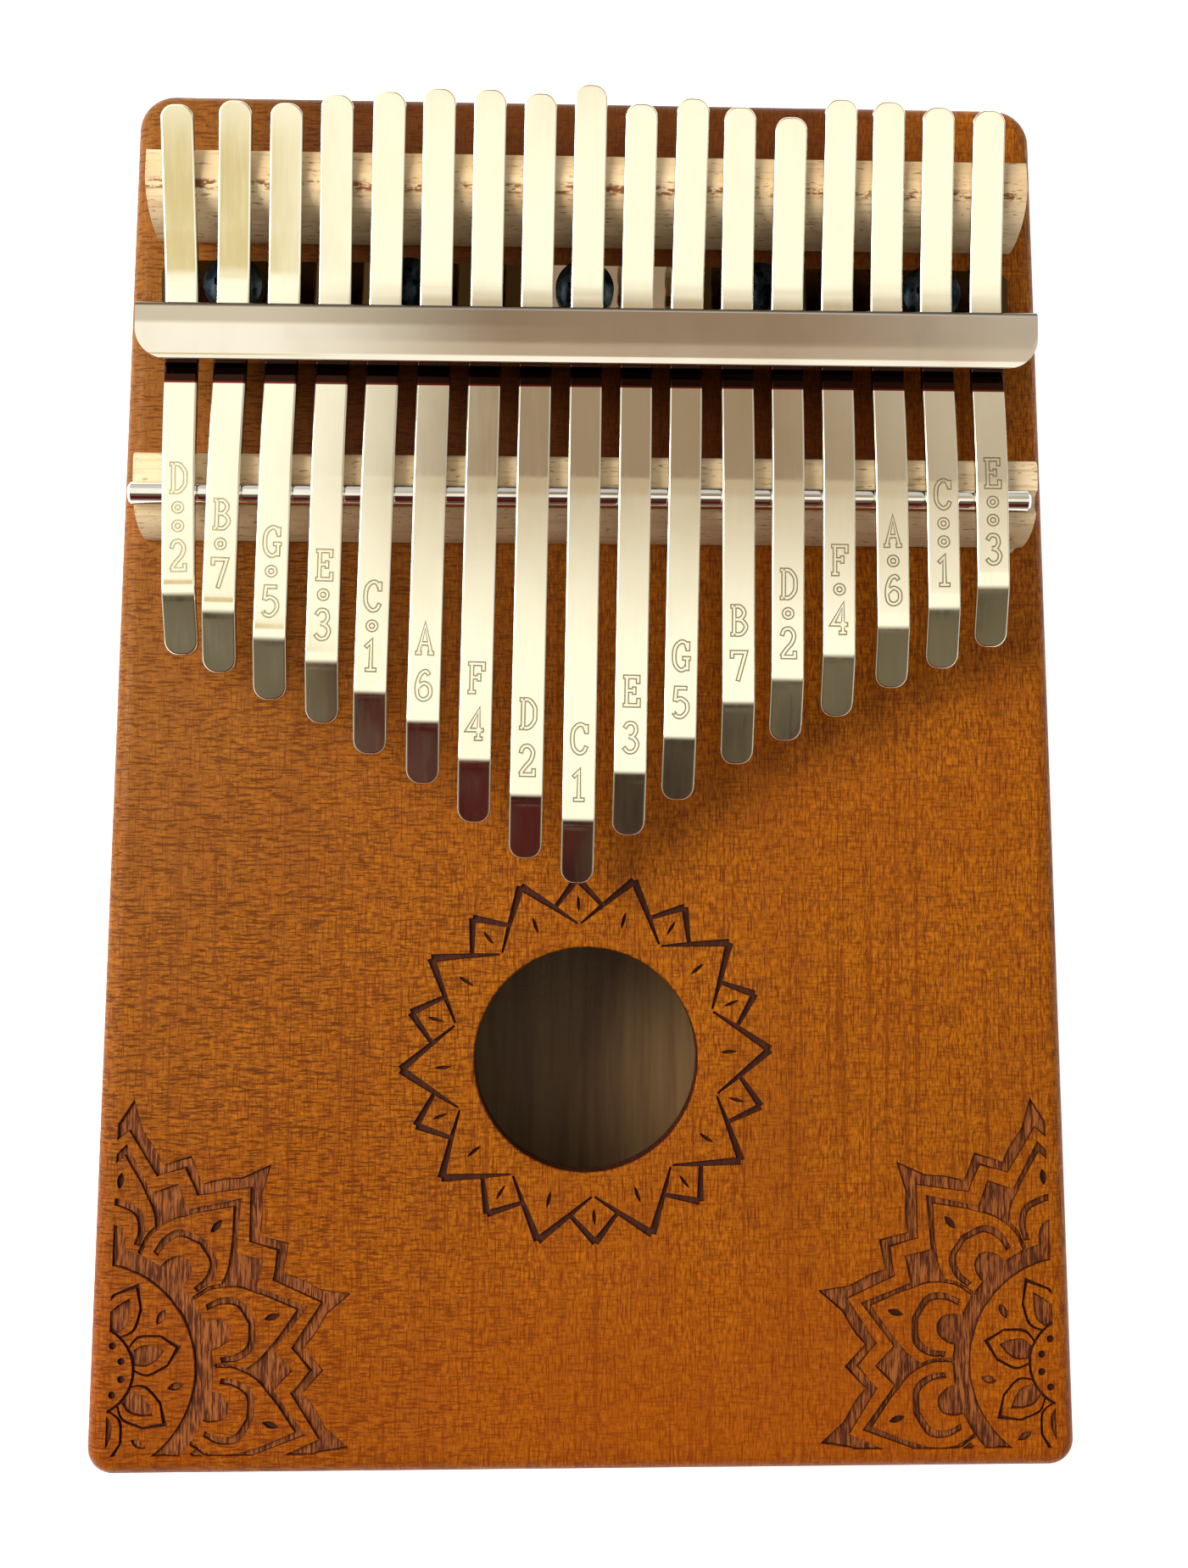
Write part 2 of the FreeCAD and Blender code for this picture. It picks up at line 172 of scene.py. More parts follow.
def triangulate(outline, holes=(), figures=(), lines=()):
    """Triangles of a plate with figures painted on it in order, as (level, points).

    Returns the points, the triangles, each triangle's level (0 where nothing is painted),
    and for every given outline and hole point its place in the list of points.
    """
    rings = [np.array(ring, float) for ring in (outline, *holes, *[shape for _, shape in figures])]
    points, edges = [], []
    for ring in rings:
        first = len(points)
        edges += [(first + i, first + (i + 1) % len(ring)) for i in range(len(ring))]
        points += [Vector(p) for p in ring]
    for start, end in lines:
        edges.append((len(points), len(points) + 1))
        points += [Vector(start), Vector(end)]
    spots, _, triangles, sources, _, _ = delaunay_2d_cdt(points, edges, [], 0, WELD, True)
    spots = np.array([tuple(s) for s in spots])
    triangles = np.array([tuple(t) for t in triangles])
    middles = spots[triangles].mean(axis=1)
    kept = inside(middles, rings[0])
    for ring in rings[1:1 + len(holes)]:
        kept &= ~inside(middles, ring)
    levels = np.zeros(len(triangles), int)
    for (level, _), ring in zip(figures, rings[1 + len(holes):]):
        levels[inside(middles, ring)] = level
    place = {given: spot for spot, origin in enumerate(sources) for given in origin}
    kept_triangles = [tuple(int(i) for i in t) for t in triangles[kept]]
    return spots, kept_triangles, levels[kept].tolist(), place


def rim_loops(triangles):
    """The closed loops of directed edges that have a triangle on one side only."""
    edges = {(t[i], t[(i + 1) % 3]) for t in triangles for i in range(3)}
    follow = {a: b for a, b in edges if (b, a) not in edges}
    loops = []
    while follow:
        start, after = follow.popitem()
        loop = [start]
        while after != start:
            loop.append(after)
            after = follow.pop(after)
        loops.append(loop)
    return loops


def carve(points, triangles, levels, depth, slope):
    """Sinks the painted triangles by depth, with a worn ledge and a wall that lean in by slope.

    Returns (x, y, z) points whose first ones are the given points at height 0, the faces,
    and each face's kind: 0 surface, the level of a floor, LEDGE or WALL.
    """
    sunk = [t for t, level in zip(triangles, levels) if level]
    sunk_edges = {(t[i], t[(i + 1) % 3]) for t in sunk for i in range(3)}
    walls = sorted((a, b) for a, b in sunk_edges if (b, a) not in sunk_edges)
    lean = np.zeros((len(points), 2))
    for a, b in walls:
        step = points[b] - points[a]
        inward = np.array([-step[1], step[0]]) / np.linalg.norm(step)
        lean[a] += inward
        lean[b] += inward
    room = np.full(len(points), FAR)
    for t in sunk:
        a, b, c = points[list(t)]
        u, v = b - a, c - a
        longest = max(np.linalg.norm(u), np.linalg.norm(v), np.linalg.norm(c - b))
        altitude = abs(u[0] * v[1] - u[1] * v[0]) / longest
        for index in t:
            room[index] = min(room[index], altitude)
    out = [(x, y, 0.0) for x, y in points]
    floor_of, ledge_of = {}, {}
    for index in sorted({i for t in sunk for i in t}):
        size = np.linalg.norm(lean[index])
        shift = np.zeros(2)
        if size > 1e-6:
            mitre = min(2 / size, MITRE_LIMIT)
            shift = lean[index] / size * min(slope * mitre, FLOOR_SHARE * room[index])
        ledge_of[index] = len(out)
        out.append((*(points[index] + shift * LEDGE_REACH), -depth * LEDGE_DEPTH))
        floor_of[index] = len(out)
        out.append((*(points[index] + shift), -depth))
    faces, kinds = [], []
    for t, level in zip(triangles, levels):
        faces.append(tuple(floor_of[i] for i in t) if level else t)
        kinds.append(level)
    for a, b in walls:
        faces.append((a, b, ledge_of[b], ledge_of[a]))
        kinds.append(LEDGE)
        faces.append((ledge_of[a], ledge_of[b], floor_of[b], floor_of[a]))
        kinds.append(WALL)
    return out, faces, kinds


SHELL_SHARP_DEG = 30


class Shell:
    """Collects a closed mesh's points and faces, in millimetres."""

    def __init__(self, points, faces, kinds):
        self.points, self.faces, self.kinds = list(points), list(faces), list(kinds)

    def add(self, points):
        """Adds points and returns their places."""
        start = len(self.points)
        self.points += [tuple(p) for p in points]
        return list(range(start, len(self.points)))

    def band(self, ring, next_ring, kind=0):
        """Quads between two closed rings; ring runs counter-clockwise seen from outside."""
        count = len(ring)
        for i in range(count):
            j = (i + 1) % count
            self.faces.append((ring[j], ring[i], next_ring[i], next_ring[j]))
            self.kinds.append(kind)

    def bands(self, ring, layers, kind=0):
        """Bands from ring through layers of points; returns the last ring."""
        for layer in layers:
            new = self.add(layer)
            self.band(ring, new, kind)
            ring = new
        return ring

    def cap(self, rings, lines=()):
        """Closes the shell below with a flat cap between an outline and its holes."""
        flat = [[self.points[i][:2] for i in ring] for ring in rings]
        spots, triangles, _, place = triangulate(flat[0], flat[1:], lines=lines)
        joined = [index for ring in rings for index in ring]
        back = {place[given]: index for given, index in enumerate(joined)}
        for a, b, c in triangles:
            self.faces.append((back[a], back[c], back[b]))
            self.kinds.append(0)

    def piece(self, name, materials, material_of, spread):
        """The finished object, its points moved by spread.

        material_of gives the place in materials that a face of each kind wears.
        """
        used = sorted({index for face in self.faces for index in face})
        renumbered = {old: new for new, old in enumerate(used)}
        points = [spread(*self.points[index]) for index in used]
        faces = [[renumbered[index] for index in face] for face in self.faces]
        mesh = bpy.data.meshes.new(name)
        mesh.from_pydata([(x * MM, y * MM, z * MM) for x, y, z in points], [], faces)
        mesh.polygons.foreach_set("material_index", [material_of[kind] for kind in self.kinds])
        mesh.validate()
        shade(mesh, SHELL_SHARP_DEG)
        return add_piece(name, mesh, materials)


# ---- Engraved ornaments ----
def sun_ring(centre):
    """A ring of ten large and ten small pointed rays, drawn in lines of changing width."""
    tips, count, turn = 24.3, 10, 3
    pitch = 360 / count
    figures = []

    def ray(points, width, end_width, angle):
        figures.append((LINE, placed(stroke(points, width, end_width), angle, centre)))

    for index in range(count):
        small = turn + (index + 0.5) * pitch
        for side in (-1, 1):
            foot = polar(8.3 * side, 20.9)
            ray([(tips, 0), foot], 1.0, 0.6, small)
        figures.append((LINE, placed(lens((20.9, 0), 2.3, 0.5, 0), small, centre)))
    for index in range(count):
        big = turn + index * pitch
        for side in (-1, 1):
            crossing, foot = polar(9 * side, 20.7), polar(17.4 * side, 18.2)
            ray([(tips + 0.5, 0), crossing, foot], 1.1, 0.3, big)
        figures.append((LINE, placed(lens((19.2, 0), 2.4, 0.55, 0), big, centre)))
    return figures


def flower_petal(tip):
    """One inner petal: a groove round a raised rim with a sunken core."""
    outer = smooth_line([(5.6, 1.5), (7.4, 2.75), (10.2, 2.2)], 4)
    outer = [*outer, (tip, 0)]
    core = [*smooth_line([(6.0, 0.9), (7.6, 1.45), (9.2, 0.95)], 3), (tip - 2.2, 0)]
    rim = [(u, v - 0.42) for u, v in outer[:-1]] + [(tip - 0.85, 0)]
    return [(LINE, both_sides(outer)), (0, both_sides(rim)), (FLOOR, both_sides(core))]


def outer_petal():
    """One large petal with its border, chevron, arch groove, sunken core and seed."""
    border = [(24.2, 6.1), *smooth_line([(27.0, 5.6), (29.4, 4.2), (32.0, 1.8)], 3), (35.9, 0)]
    chevron_out = [(25.4, 4.9), (26.4, 4.5), (31.6, 0)]
    chevron_in = [(23.4, 4.9), (25.2, 3.5), (29.9, 0)]
    body = [*smooth_line([(15.8, 4.9), (18.3, 5.6), (21.4, 5.0), (24.9, 2.8)], 4), (28.3, 0)]
    gap = [*smooth_line([(15.6, 5.5), (18.4, 6.2), (21.8, 5.5), (25.4, 3.2)], 4), (29.0, 0)]
    arch = smooth_line([(17.0, 4.0), (19.4, 4.3), (21.7, 3.2), (22.7, 0)], 4)
    arch_in = smooth_line([(17.0, 3.1), (19.0, 3.35), (20.9, 2.5), (21.7, 0)], 4)
    core = smooth_line([(15.0, 1.9), (17.2, 2.0), (18.8, 1.2), (19.3, 0)], 4)
    return [
        (FLOOR, both_sides(border)),
        (0, both_sides(chevron_out)),
        (FLOOR, both_sides(chevron_in)),
        (FLOOR, both_sides(gap)),
        (0, both_sides(body)),
        (FLOOR, both_sides(arch)),
        (0, both_sides(arch_in)),
        (FLOOR, both_sides(core)),
        (LINE, lens((25.0, 0), 2.3, 0.95, 0)),
    ]


def between_petals():
    """The sunken point, chevron and diamond between two large petals."""
    point = [(21.5, 5.0), (26.9, 4.3), (28.4, 2.7), (31.0, 0)]
    chevron = [(23.4, 4.9), (25.4, 4.1), (27.4, 2.0), (28.9, 0)]
    diamond = [(17.8, 0.3), (22.6, 3.6), (23.8, 3.2), (26.9, 0)]
    return [(FLOOR, both_sides(point)), (0, both_sides(chevron)), (FLOOR, both_sides(diamond))]


def mandala(centre, side):
    """Half a mandala on the body's edge; side is +1 where it opens to the right."""
    first, pitch = 15.8, 32.6
    petals = [first + pitch * step for step in (3, -2, 2, 1, 0, -1)]
    figures = []

    def paint(shapes, angle):
        figures.extend((level, placed(points, angle)) for level, points in shapes)

    for angle in petals:
        paint(outer_petal()[:1], angle)
    for angle in petals:
        paint(between_petals(), angle - pitch / 2)
    for angle in petals:
        paint(outer_petal()[1:], angle)
    figures.append((FLOOR, circle((0, 0), 16.4, 90)))
    figures.append((0, circle((0, 0), 13.9, 80)))
    for angle, tip in [(105, 12.6), (60, 13.1), (14, 12.6), (-35, 12.8), (-76, 12.6)]:
        paint(flower_petal(tip), angle)
    for angle in (83, 36, -10.5, -55):
        figures.append((FLOOR, placed(lens((0, 0), 2.3, 1.1, 25), angle, polar(angle, 11.7))))
    figures.append((LINE, circle((0, 0), 6.15, 48)))
    figures.append((0, circle((0, 0), 5.75, 48)))
    for angle in range(-75, 100, 30):
        figures.append((LINE, circle(polar(angle, 4.5), 0.5, 12)))
    figures.append((FLOOR, circle((0, 0), 1.8, 24)))
    cx, cy = centre
    if side > 0:
        return [(level, [(cx + x, cy + y) for x, y in points]) for level, points in figures]
    return [(level, [(cx - x, cy + y) for x, y in points[::-1]]) for level, points in figures]


# ---- Soundboard ----
BODY_HALF_LENGTH = 93.0
HEAD_HALF_WIDTH, TAIL_HALF_WIDTH = 61.5, 66.0
HEAD_CORNER_R, TAIL_CORNER_R = 5.0, 3.5
EDGE_R, HOLE_EDGE_R, FLAT_MARGIN = 2.5, 0.35, 0.3
BOARD_T = 4.0
BODY_CORNER_STEPS, EDGE_STEPS, EDGE_TURNS_DEG = 10, 9, (0, 30, 60, 90)
SOUND_HOLE_CENTRE, SOUND_HOLE_R, SOUND_HOLE_POINTS, SOUND_HOLE_MARGIN = (0.0, -38.5), 15.0, 96, 0.2
SCREW_COUNT, PILOT_HOLE_R, PILOT_HOLE_POINTS = 5, 1.6, 16
MANDALA_X, MANDALA_Y = 65.5, -79.0
CARVE_DEPTH, CARVE_SLOPE = 0.5, 0.36


def rounded_outline(corners, radii, inset, steps):
    """(point, outward direction) pairs round a convex outline with rounded corners."""
    corners = [np.array(c, float) for c in corners]
    out = []
    for index, corner in enumerate(corners):
        before, after = corners[index - 1], corners[(index + 1) % len(corners)]
        a, b = (corner - before), (after - corner)
        a, b = a / np.linalg.norm(a), b / np.linalg.norm(b)
        turn = math.acos(float(np.clip(a @ b, -1, 1)))
        radius = radii[index]
        centre = corner - a * radius * math.tan(turn / 2) + np.array([-a[1], a[0]]) * radius
        first = math.atan2(-a[0], a[1])
        for step in range(steps + 1):
            angle = first + turn * step / steps
            out_dir = np.array([math.cos(angle), math.sin(angle)])
            out.append((centre + out_dir * (radius - inset), out_dir))
    return out


def body_outline(inset):
    head, tail, y = HEAD_HALF_WIDTH, TAIL_HALF_WIDTH, BODY_HALF_LENGTH
    corners = [(-tail, -y), (tail, -y), (head, y), (-head, y)]
    radii = [TAIL_CORNER_R, TAIL_CORNER_R, HEAD_CORNER_R, HEAD_CORNER_R]
    return rounded_outline(corners, radii, inset, BODY_CORNER_STEPS)


def loop_directions(loop, outline, place):
    """A rim loop from its first known point on, and its outward directions.

    Points that the triangulation added on an edge take the mean of the edge's ends.
    """
    known = {place[i]: direction for i, (_, direction) in enumerate(outline)}
    order = {place[i]: i for i in range(len(outline))}
    start = next(k for k, index in enumerate(loop) if index in known)
    loop = loop[start:] + loop[:start]
    directions = []
    last = loop[0]
    for index in loop:
        if index in known:
            last = index
            directions.append(known[index])
            continue
        following = outline[(order[last] + 1) % len(outline)][1]
        mean = known[last] + following
        directions.append(mean / np.linalg.norm(mean))
    return loop, np.array(directions)


def soundboard(materials):
    inset = EDGE_R + FLAT_MARGIN
    outline = body_outline(inset)
    centre, radius = SOUND_HOLE_CENTRE, SOUND_HOLE_R
    holes = [circle(centre, radius + HOLE_EDGE_R + SOUND_HOLE_MARGIN, SOUND_HOLE_POINTS)]
    for index in range(1, SCREW_COUNT + 1):
        low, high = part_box(f"bracket_screw_{index}")
        middle = (low + high) / 2 / MM
        holes.append(circle((middle.x, middle.y), PILOT_HOLE_R, PILOT_HOLE_POINTS))
    figures = sun_ring(centre)
    for side in (-1, 1):
        figures += mandala((side * MANDALA_X, MANDALA_Y), -side)
    spots, triangles, levels, place = triangulate([p for p, _ in outline], holes, figures)
    loops = rim_loops(triangles)
    shell = Shell(*carve(spots, triangles, levels, CARVE_DEPTH, CARVE_SLOPE))
    outer = next(loop for loop in loops if place[0] in loop)
    loop, out = loop_directions(outer, outline, place)
    flat = spots[loop]
    layers = []
    for angle in np.linspace(0, math.pi / 2, EDGE_STEPS):
        reach = FLAT_MARGIN + EDGE_R * math.sin(angle)
        depth = EDGE_R * (1 - math.cos(angle))
        layers.append([(*p, -depth) for p in flat + out * reach])
    layers.append([(x, y, -BOARD_T) for x, y, _ in layers[-1]])
    bottom = [shell.bands(loop, layers)]
    hole_start = len(outline)
    for number, hole in enumerate(holes):
        loop = next(candidate for candidate in loops if place[hole_start] in candidate)
        hole_start += len(hole)
        if number:
            bottom.append(shell.bands(loop, [[(*spots[i], -BOARD_T) for i in loop]], WALL))
            continue
        rays = [(spots[i] - centre) / np.linalg.norm(spots[i] - centre) for i in loop]
        layers = []
        for angle in EDGE_TURNS_DEG:
            turn = math.radians(angle)
            reach = radius + HOLE_EDGE_R * (1 - math.sin(turn))
            depth = HOLE_EDGE_R * (1 - math.cos(turn))
            layers.append([(*(np.array(centre) + ray * reach), -depth) for ray in rays])
        ring = shell.bands(loop, layers)
        lower = [(*shell.points[i][:2], -BOARD_T) for i in ring]
        bottom.append(shell.bands(ring, [lower], WALL))
    shell.cap(bottom)
    top = DECK_Z / MM
    material_of = {0: 0, FLOOR: 1, LINE: 2, WALL: 2, LEDGE: 0}
    piece = shell.piece("engraved_soundboard", materials, material_of,
                        lambda x, y, z: (x, y, top + z))
    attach(piece, "body")
    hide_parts("soundboard")


# ---- Tines ----
# Pen strokes, in hundredths of a letter's box; a stroke after "curve" is a smooth line.
STEM, HEAD_SERIF, FOOT_SERIF = [(24, 0), (24, 100)], [(6, 100), (24, 100)], [(6, 0), (24, 0)]
ARM, ARM_SERIF = [(24, 52), (66, 52)], [(66, 64), (66, 40)]
GLYPHS = {
    "A": [[(14, 0), (50, 100), (86, 0)], [(28, 34), (72, 34)],
          [(0, 0), (30, 0)], [(70, 0), (100, 0)]],
    "B": [STEM, HEAD_SERIF, FOOT_SERIF,
          "curve", [(24, 100), (60, 98), (82, 78), (62, 56), (24, 53)],
          "curve", [(24, 53), (66, 50), (92, 27), (66, 2), (24, 0)]],
    "C": ["curve", [(86, 76), (72, 96), (45, 100), (16, 82), (8, 50),
                    (16, 18), (45, 0), (74, 6), (90, 26)],
          [(88, 100), (88, 70)]],
    "D": [STEM, HEAD_SERIF, FOOT_SERIF,
          "curve", [(24, 100), (58, 98), (88, 75), (92, 50), (88, 25), (58, 2), (24, 0)]],
    "E": [STEM, [(6, 100), (88, 100), (88, 78)], ARM, ARM_SERIF, [(6, 0), (92, 0), (92, 24)]],
    "F": [STEM, [(6, 100), (90, 100), (90, 76)], ARM, ARM_SERIF, [(6, 0), (46, 0)]],
    "G": ["curve", [(84, 76), (72, 96), (45, 100), (16, 82), (8, 50),
                    (16, 18), (45, 0), (72, 6), (84, 20)],
          [(86, 100), (86, 70)], [(84, 0), (84, 42)], [(58, 42), (100, 42)]],
    "1": [[(20, 80), (50, 100), (50, 0)], [(22, 0), (80, 0)]],
    "2": ["curve", [(14, 74), (28, 96), (60, 100), (84, 80), (74, 52), (40, 26), (12, 0)],
          [(12, 0), (90, 0), (90, 20)]],
    "3": ["curve", [(14, 82), (36, 100), (70, 96), (80, 74), (64, 56), (40, 53)],
          "curve", [(40, 53), (72, 46), (88, 26), (70, 3), (36, 0), (10, 16)]],
    "4": [[(70, 0), (70, 100), (8, 30), (96, 30)], [(50, 0), (90, 0)]],
    "5": [[(84, 100), (24, 100), (18, 54)],
          "curve", [(18, 54), (50, 63), (84, 48), (88, 22), (60, 0), (30, 0), (10, 14)]],
    "6": ["curve", [(80, 86), (60, 100), (30, 88), (12, 50), (18, 12), (50, 0),
                    (84, 14), (84, 44), (50, 58), (16, 42)]],
    "7": [[(12, 80), (12, 100), (90, 100), (46, 0)]],
}
# Each tine's name, octave dots as o, and degree.
LABELS = {
    "d6": "Doo2", "b5": "Bo7", "g5": "Go5", "e5": "Eo3", "c5": "Co1", "a4": "A6",
    "f4": "F4", "d4": "D2", "c4": "C1", "e4": "E3", "g4": "G5", "b4": "B7",
    "d5": "Do2", "f5": "Fo4", "a5": "Ao6", "c6": "Coo1", "e6": "Eoo3",
}
GLYPH_W, GLYPH_H, GLYPH_PEN, PEN_OVERSHOOT, STAMP_LINE = 2.9, 4.3, 0.64, 0.12, 0.18
DOT_R, DOT_MIDDLE_R, DOT_STEP, LABEL_GAP = 0.85, 0.42, 2.4, 1.7
LABEL_START = 10.4
STAMP_DEPTH, STAMP_SLOPE = 0.05, 0.03
TINE_CORNER_R, TINE_EDGE_R = 1.75, 0.22
TINE_CORNER_STEPS, TINE_EDGE_FLAT, TINE_LOWER_BEVEL = 7, 0.05, 0.15
STATION_STEP, PROFILE_STEP, END_MARGIN = 0.6, 0.25, 0.4
FROM_BOTTOM = -100.0
OVERHEAD_Z = 0.1


def glyph(letter, x, y):
    """A letter's stamped outline, GLYPH_W by GLYPH_H, with its lower left corner at x, y."""
    outer, inner = [], []
    curved = False
    for part in GLYPHS[letter]:
        if part == "curve":
            curved = True
            continue
        points = np.array(part) / 100 * (GLYPH_W - GLYPH_PEN, GLYPH_H - GLYPH_PEN)
        points += (x + GLYPH_PEN / 2, y + GLYPH_PEN / 2)
        if curved:
            points = smooth_line(points, 4)
        else:
            ends = points[0] - points[1], points[-1] - points[-2]
            points[0] += ends[0] / np.linalg.norm(ends[0]) * PEN_OVERSHOOT
            points[-1] += ends[1] / np.linalg.norm(ends[1]) * PEN_OVERSHOOT
        outer.append((LINE, stroke(points, GLYPH_PEN)))
        points[0] += shortened(points[0], points[1])
        points[-1] += shortened(points[-1], points[-2])
        inner.append((0, stroke(points, GLYPH_PEN - 2 * STAMP_LINE)))
        curved = False
    return outer + inner


def shortened(end, towards):
    """The step that pulls a pen line's end back by the outline's width."""
    step = np.array(towards) - np.array(end)
    return step / np.linalg.norm(step) * STAMP_LINE


def label_figures(label, start):
    """A tine's stamped label, read from the rod towards the tip, its foot at start."""
    number, name = label[-1], label[0]
    dots = len(label) - 2
    figures = glyph(number, -GLYPH_W / 2, start)
    at = start + GLYPH_H
    for index in range(dots):
        middle = (0, at + LABEL_GAP + index * DOT_STEP)
        figures.append((LINE, circle(middle, DOT_R, 18)))
        figures.append((0, circle(middle, DOT_R - STAMP_LINE, 16)))
        figures.append((LINE, circle(middle, DOT_MIDDLE_R, 12)))
        figures.append((0, circle(middle, DOT_MIDDLE_R - STAMP_LINE, 10)))
    at += LABEL_GAP * (2 if dots else 1) + max(dots - 1, 0) * DOT_STEP
    return figures + glyph(name, -GLYPH_W / 2, at)


class TineShape:
    """Reads a CAD tine's place, lean and side profile from its mesh, in millimetres."""

    def __init__(self, node):
        mesh = frame["nodes"][node].data
        across = Vector((0, 0))
        for polygon in mesh.polygons:
            n = polygon.normal
            if abs(n.z) < 0.05 and abs(n.x) > 0.95:
                across += Vector((n.x, n.y)) * polygon.area * (1 if n.x > 0 else -1)
        across.normalize()
        self.across = np.array(across)
        self.along = np.array([-across.y, across.x])
        plan = np.array([v.co for v in mesh.vertices])[:, :2] / MM
        side, reach = plan @ self.across, plan @ self.along
        self.half_width = (side.max() - side.min()) / 2
        self.middle = (side.max() + side.min()) / 2
        self.start, self.end = reach.min(), reach.max()
        corners, faces = [v.co for v in mesh.vertices], [p.vertices for p in mesh.polygons]
        tree = BVHTree.FromPolygons(corners, faces)
        inner = np.arange(self.start + END_MARGIN, self.end - END_MARGIN, PROFILE_STEP)
        self.stations = np.array([self.start, *inner, self.end])
        top, bottom = zip(*[self.heights(tree, s) for s in inner])
        self.top, self.bottom = self.extended(inner, top), self.extended(inner, bottom)

    def extended(self, inner, heights):
        """Heights with both ends added in line with their neighbours."""
        ends = []
        for reach, a, b in ((self.start, 0, 1), (self.end, -1, -2)):
            slope = (heights[b] - heights[a]) / (inner[b] - inner[a])
            ends.append(heights[a] + slope * (reach - inner[a]))
        return np.array([ends[0], *heights, ends[1]])

    def heights(self, tree, reach):
        """The top and bottom face's heights on the tine's middle line."""
        x, y = (self.across * self.middle + self.along * reach) * MM
        above = tree.ray_cast(Vector((x, y, OVERHEAD_Z)), Vector((0, 0, -1)))[0]
        below = tree.ray_cast(Vector((x, y, 0)), Vector((0, 0, 1)))[0]
        return above.z / MM, below.z / MM

    def ring(self, inset, stations):
        """The plan outline as (side, reach), counter-clockwise from the tip's right corner."""
        r, w, steps = TINE_CORNER_R, self.half_width, TINE_CORNER_STEPS
        right, low, high = w - r, self.start + r, self.end - r
        out = arc((right, low), r - inset, -90, 0, steps)
        out += [(w - inset, s) for s in stations]
        out += arc((right, high), r - inset, 0, 90, steps)
        out += arc((-right, high), r - inset, 90, 180, steps)
        out += [(inset - w, s) for s in reversed(stations)]
        return out + arc((-right, low), r - inset, 180, 270, steps)

    def place(self, side, reach, drop):
        """A point at side and reach, drop under the top face.

        A drop that FROM_BOTTOM was added to counts up from the bottom face instead.
        """
        x, y = self.across * (self.middle + side) + self.along * reach
        if drop < FROM_BOTTOM / 2:
            return x, y, np.interp(reach, self.stations, self.bottom) + drop - FROM_BOTTOM
        return x, y, np.interp(reach, self.stations, self.top) - drop


def tine(note, materials):
    node = "tine_" + note
    shape = TineShape(node)
    first, last = shape.start + TINE_CORNER_R, shape.end - TINE_CORNER_R
    count = int((shape.end - shape.start - 2 * TINE_CORNER_R) / STATION_STEP)
    stations = np.linspace(first, last, count)[1:-1].tolist()

    def cross_lines(inset):
        width = shape.half_width - inset
        return [((-width, s), (width, s)) for s in stations]

    inset = TINE_EDGE_R + TINE_EDGE_FLAT
    outline = shape.ring(inset, stations)
    figures = label_figures(LABELS[note], shape.start + LABEL_START)
    spots, triangles, levels, place = triangulate(outline, (), figures, cross_lines(inset))
    points, faces, kinds = carve(spots, triangles, levels, STAMP_DEPTH, STAMP_SLOPE)
    shell = Shell([(x, y, -z) for x, y, z in points], faces, kinds)
    ring = [place[i] for i in range(len(outline))]
    layers = []
    for angle in EDGE_TURNS_DEG:
        turn = math.radians(angle)
        inset, drop = TINE_EDGE_R * (1 - math.sin(turn)), TINE_EDGE_R * (1 - math.cos(turn))
        layers.append([(*p, drop) for p in shape.ring(inset, stations)])
    for inset, rise in ((0, TINE_LOWER_BEVEL), (TINE_LOWER_BEVEL, 0)):
        layers.append([(*p, rise + FROM_BOTTOM) for p in shape.ring(inset, stations)])
    shell.cap([shell.bands(ring, layers)], cross_lines(TINE_LOWER_BEVEL))
    material_of = {0: 0, LINE: 1, WALL: 1, LEDGE: 1}
    piece = shell.piece("steel_" + node, materials, material_of, shape.place)
    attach(piece, "key_" + note)
    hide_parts(node)


# ---- Pressure bracket ----
FOLD_R, ROLL_REACH, ROLL_SLOPE, EDGE_FOLD_R, LIP_BOTTOM_H = 1.5, 1.0, 0.26, 0.12, 9.45
FOLD_CUTS = (0.02, 0.05, 0.08, *np.arange(0.12, FOLD_R, 0.12))
BRACKET_SHARP_DEG = 25


def fold_drop(reach, radius):
    """How far a fold of the given radius has fallen at a reach behind its front."""
    short = max(radius - reach, 0.0)
    return radius - math.sqrt(max(radius ** 2 - short ** 2, 0.0))


def pressure_bracket(material):
    """The folded sheet, its top plate rolling over gently before a crisp edge at the lip."""
    low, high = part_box("pressure_bracket")
    build = bmesh.new()
    build.from_mesh(frame["nodes"]["pressure_bracket"].data)
    bmesh.ops.remove_doubles(build, verts=build.verts, dist=1e-6)
    for reach in FOLD_CUTS:
        parts = build.verts[:] + build.edges[:] + build.faces[:]
        place = (0, low.y + reach * MM, 0)
        bmesh.ops.bisect_plane(build, geom=parts, dist=1e-7, plane_co=place, plane_no=(0, 1, 0))
    build.normal_update()
    skin = {vertex for face in build.faces if face.normal.z > 0.02 for vertex in face.verts}
    for vertex in skin:
        reach = (vertex.co.y - low.y) / MM
        if reach < FOLD_R and vertex.co.z > low.z + LIP_BOTTOM_H * MM:
            roll = max(ROLL_REACH - reach, 0.0) ** 2 * ROLL_SLOPE / ROLL_REACH / 2
            vertex.co.z = high.z - (roll + fold_drop(reach, EDGE_FOLD_R)) * MM
    mesh = bpy.data.meshes.new("chrome_bracket")
    build.to_mesh(mesh)
    build.free()
    given_normals = mesh.attributes.get("custom_normal")
    if given_normals:
        mesh.attributes.remove(given_normals)
    shade(mesh, BRACKET_SHARP_DEG)
    piece = add_piece("chrome_bracket", mesh, [material])
    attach(piece, "body")
    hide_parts("pressure_bracket")


# ---- Glue bead ----
BEAD_RINGS = [(0.0, 1.7), (0.25, 1.6), (0.5, 1.1), (0.9, 0.7),
              (1.8, 0.55), (3.0, 0.6), (4.0, 0.4), (4.4, 0.15)]
BEAD_FROM_END, BEAD_FLATNESS, BEAD_SIDES, BEAD_SHARP_DEG = 2.3, 0.5, 20, 60


